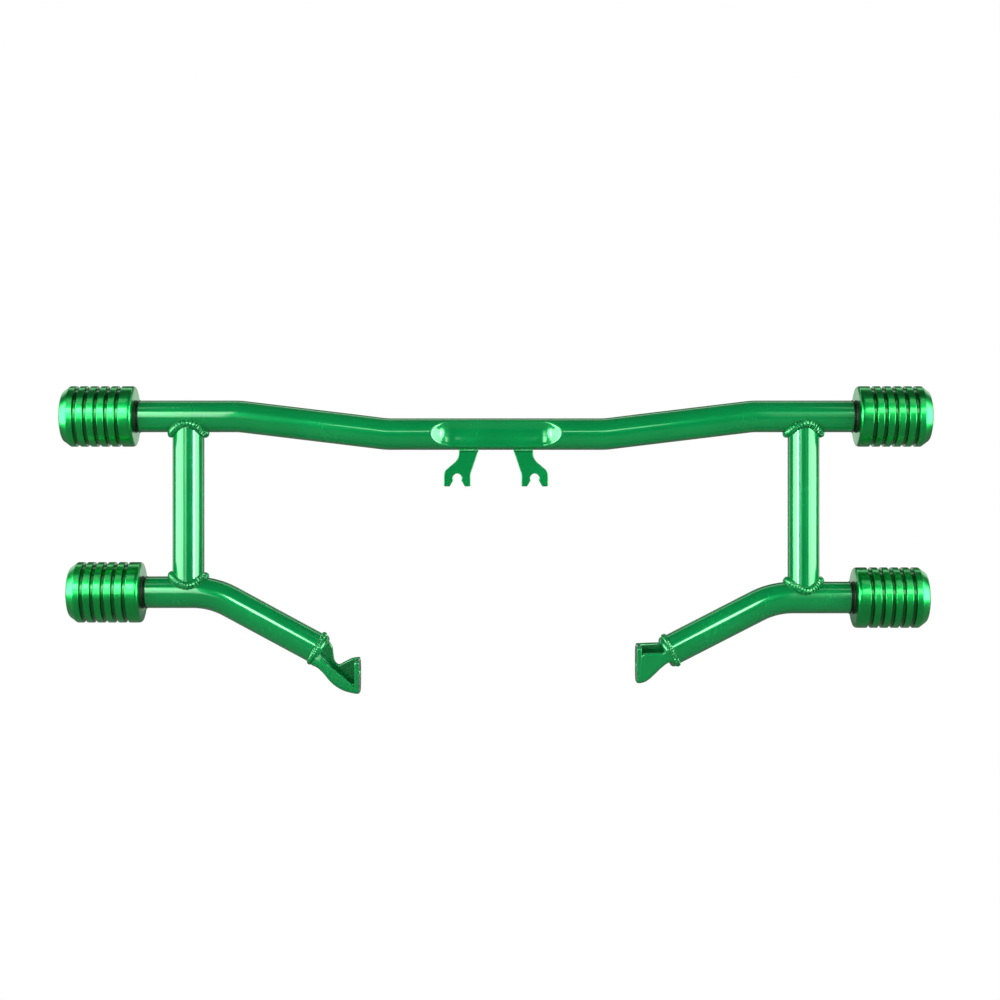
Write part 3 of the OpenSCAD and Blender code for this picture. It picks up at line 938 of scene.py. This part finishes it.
def line_object(name, points, closed):
    """A mesh of edges alone, for a bead to be swept along."""
    count = len(points)
    edges = [(i, i + 1) for i in range(count - 1)] + ([(count - 1, 0)] if closed else [])
    mesh = bpy.data.meshes.new(name)
    mesh.from_pydata([tuple(p) for p in points], edges, [])
    return link_mesh(mesh, name)


def weld(name, node, lines, radius, pitch, seed):
    """One weld node's beads, each swept along its own line and joined into one piece."""
    parts = []
    for k, (points, closed) in enumerate(lines):
        line = line_object(name + str(k), points, closed)
        parts.append(run_tree(line, bead_tree, {
            "Bead Radius": radius, "Ripple Pitch": pitch,
            "Ripple Height": radius * RIPPLE_SHARE, "Roughness": radius * LUMP_SHARE,
            "Seed": seed + k * SEED_STEP, "Material": weld_paint}))
    bm = bmesh.new()
    for part in parts:
        bm.from_mesh(part.data)
        bpy.data.objects.remove(part)
    piece = finish_mesh(bm, name, sharp=60)
    add(painted(piece, weld_paint), "weld_paint", node)


def post_weld_lines(side, top):
    """The saddle line in the corner between a post and the tube that it meets."""
    x, r = post_x(side), TUBE_R + 0.0009
    z_arm = arm_points(side)[1][1]
    points = []
    for i in range(180):
        a = 2 * math.pi * i / 180
        line_x, line_y = x + r * math.cos(a), r * math.sin(a)
        drop = saddle_drop(r + 0.0004, a, SADDLE_FILL + 0.0008)
        z = END_Z - drop if top else z_arm - arm_sag(side, line_x) + drop
        points.append((line_x, line_y, z))
    return [(points, True)]


def tab_weld_lines(side):
    """One line along each face of a tab, where it meets the bar."""
    z = BAR_Z - TUBE_R - 0.0004
    ends = [side * (SLOT_X + TAB_ROOT[0] + 0.0008), side * (SLOT_X + TAB_ROOT[1] - 0.0008)]
    lines = []
    for y in (-TAB_T / 2 - 0.0004, TAB_T / 2 + 0.0004):
        lines.append(([(ends[0] + (ends[1] - ends[0]) * i / 40, y, z) for i in range(41)], False))
    return lines


def lug_weld_lines(side):
    """A ring round a lower arm, just short of its root disc."""
    start, along, up = arm_end(side)
    r = TUBE_R - 0.0006
    points = [start + up * (r * math.cos(t)) + Vector((0, r * math.sin(t), 0)) - along * 0.0006
              for t in [2 * math.pi * i / 160 for i in range(160)]]
    return [(points, True)]


bead_tree = weld_bead_tree()
for side in (LEFT, RIGHT):
    name = SIDE_NAME[side]
    fork_tab_piece(side)
    lug_piece(side)
    # Bead, CAD node, lines, bead radius, ripple pitch and seed
    for bead, node, lines, radius, pitch, seed in (
            ("_post_top_bead", "_post_top_weld", post_weld_lines(side, True), 0.0036, 0.0030, 2),
            ("_post_foot_bead", "_post_foot_weld", post_weld_lines(side, False), 0.0034, 0.0030, 5),
            ("_tab_bead", "_fork_tab_weld", tab_weld_lines(side), 0.0015, 0.0015, 8),
            ("_lug_bead", "_lug_weld", lug_weld_lines(side), 0.0025, 0.0026, 11)):
        weld(name + bead, name + node, lines, radius, pitch, side + seed)


# ---------- stage ----------

FILL = 0.07                      # the world's strength in reflections and on surfaces
FLOOR_SIZE = 6.0
FLOOR_GAP = 0.002                # between the object's lowest point and the floor
FLOOR_GREY = (0.26, 0.26, 0.26, 1)
FLOOR_BOUNCE = 0.75              # how much of the floor's white still lights paint from below
CAMERA_DISTANCE = 1.92
CAMERA_X, CAMERA_Z = 0.004, -0.022
SENSOR_WIDTH = 36

scene = bpy.context.scene
scene.view_settings.view_transform = "Standard"


def studio_world():
    """White to the camera, and a dim soft fill for everything else."""
    world = bpy.data.worlds.new("studio")
    scene.world = world
    world.use_nodes = True
    nodes = Nodes(world.node_tree)
    background = world.node_tree.nodes["Background"]
    seen = nodes.make("ShaderNodeLightPath", output="Is Camera Ray")
    strength = seen + (1.0 - seen) * FILL
    world.node_tree.links.new(strength.socket, background.inputs["Strength"])
    background.inputs["Color"].default_value = (1, 1, 1, 1)


def studio_floor():
    """White to the camera, bright from below on paint, and dim in reflections."""
    size, z = FLOOR_SIZE, cad_box[0].z - FLOOR_GAP
    corners = [(-size, -size, z), (size, -size, z), (size, size, z), (-size, size, z)]
    mesh = bpy.data.meshes.new("studio_floor")
    mesh.from_pydata(corners, [], [(0, 1, 2, 3)])
    floor = link_mesh(mesh, "studio_floor")
    material = bpy.data.materials.new("pale_floor")
    material.use_nodes = True
    nodes = Nodes(material.node_tree)
    shader = material.node_tree.nodes["Principled BSDF"]
    shader.inputs["Base Color"].default_value = FLOOR_GREY
    shader.inputs["Roughness"].default_value = 0.9
    shader.inputs["Specular IOR Level"].default_value = 0.0
    white = nodes.make("ShaderNodeEmission", {}, {"Strength": 1.0})
    seen = nodes.make("ShaderNodeLightPath", output="Is Camera Ray")
    bounce = nodes.make("ShaderNodeLightPath", output="Is Diffuse Ray")
    whiteness = seen + bounce * FLOOR_BOUNCE
    mixed = nodes.make("ShaderNodeMixShader", {}, [whiteness, Field(nodes, shader.outputs[0]), white])
    output = material.node_tree.nodes["Material Output"]
    material.node_tree.links.new(mixed.socket, output.inputs["Surface"])
    painted(floor, material)


def softbox(name, place, target, width, height, radiance, spread=180):
    """An area light turned to face its target, as bright as `radiance` along that line. A
    narrow spread would brighten it, so the energy is cut by as much."""
    light = bpy.data.lights.new(name, "AREA")
    light.shape = "RECTANGLE"
    light.size, light.size_y = width, height
    half = math.radians(spread) / 2
    light.energy = radiance * math.pi * width * height * (1 - half / math.tan(half))
    light.spread = 2 * half
    obj = bpy.data.objects.new(name, light)
    scene.collection.objects.link(obj)
    obj.location = place
    obj.rotation_euler = (Vector(target) - Vector(place)).to_track_quat("-Z", "Y").to_euler()
    obj.visible_camera = False


studio_world()
studio_floor()
for side in (LEFT, RIGHT):
    x = post_x(side)
    # Broad panel beside the posts, and a thin bright panel across from them
    softbox("side_panel", (x + side * 0.83, -0.46, -0.02), (x, 0, -0.02), 1.27, 1.3, 8.0, 120)
    softbox("strip", (x - side * 0.87, -0.78, -0.02), (x, 0, -0.02), 0.28, 1.4, 20.0, 40)
    softbox("slider_panel", (side * 0.90, -1.9, 0.82), (side * 0.40, 0, 0.0), 0.30, 0.65, 6.0, 100)
    softbox("slider_top", (side * 0.80, -0.9, 1.2), (side * 0.40, 0, 0.06), 0.26, 0.9, 1.6, 100)
    # A narrow beam from above for the stripe along each sloping arm
    softbox("arm_stripe", (side * 0.133, -0.827, 0.194), (side * 0.234, 0, -0.14), 0.16, 0.30, 18.0, 26)
    softbox("rear", (side * 1.6, 1.7, 0.4), (0, 0, 0), 1.0, 1.6, 0.9)
# Two columns of panels at the front left, brightest above and fading downwards, and one at
# the front right with about an eighth of that
for z, height, radiance in ((0.82, 0.65, 6.5), (0.25, 0.50, 5.5), (-0.22, 0.44, 3.5), (-0.92, 0.95, 1.4)):
    for x, share in ((-0.66, 1.0), (-0.92, 0.5), (0.66, 0.12)):
        softbox("front_panel", (x, -1.9, z), (x * 0.6, 0, z * 0.3), 0.24, height, radiance * share, 120)
softbox("high_rear", (0, 1.2, 1.6), (0, 0, 0), 2.2, 0.4, 1.3)
softbox("back_panel", (0, 1.6, 0.0), (0, 0, 0), 0.4, 1.3, 0.9, 120)

camera = bpy.data.objects.new("camera", bpy.data.cameras.new("camera"))
scene.collection.objects.link(camera)
scene.camera = camera
camera.data.sensor_width = SENSOR_WIDTH
camera.data.lens = SENSOR_WIDTH * CAMERA_DISTANCE    # so the view is 1 m wide at the object
camera.location = (CAMERA_X, -CAMERA_DISTANCE, CAMERA_Z)
camera.rotation_euler = (math.radians(90), 0, 0)
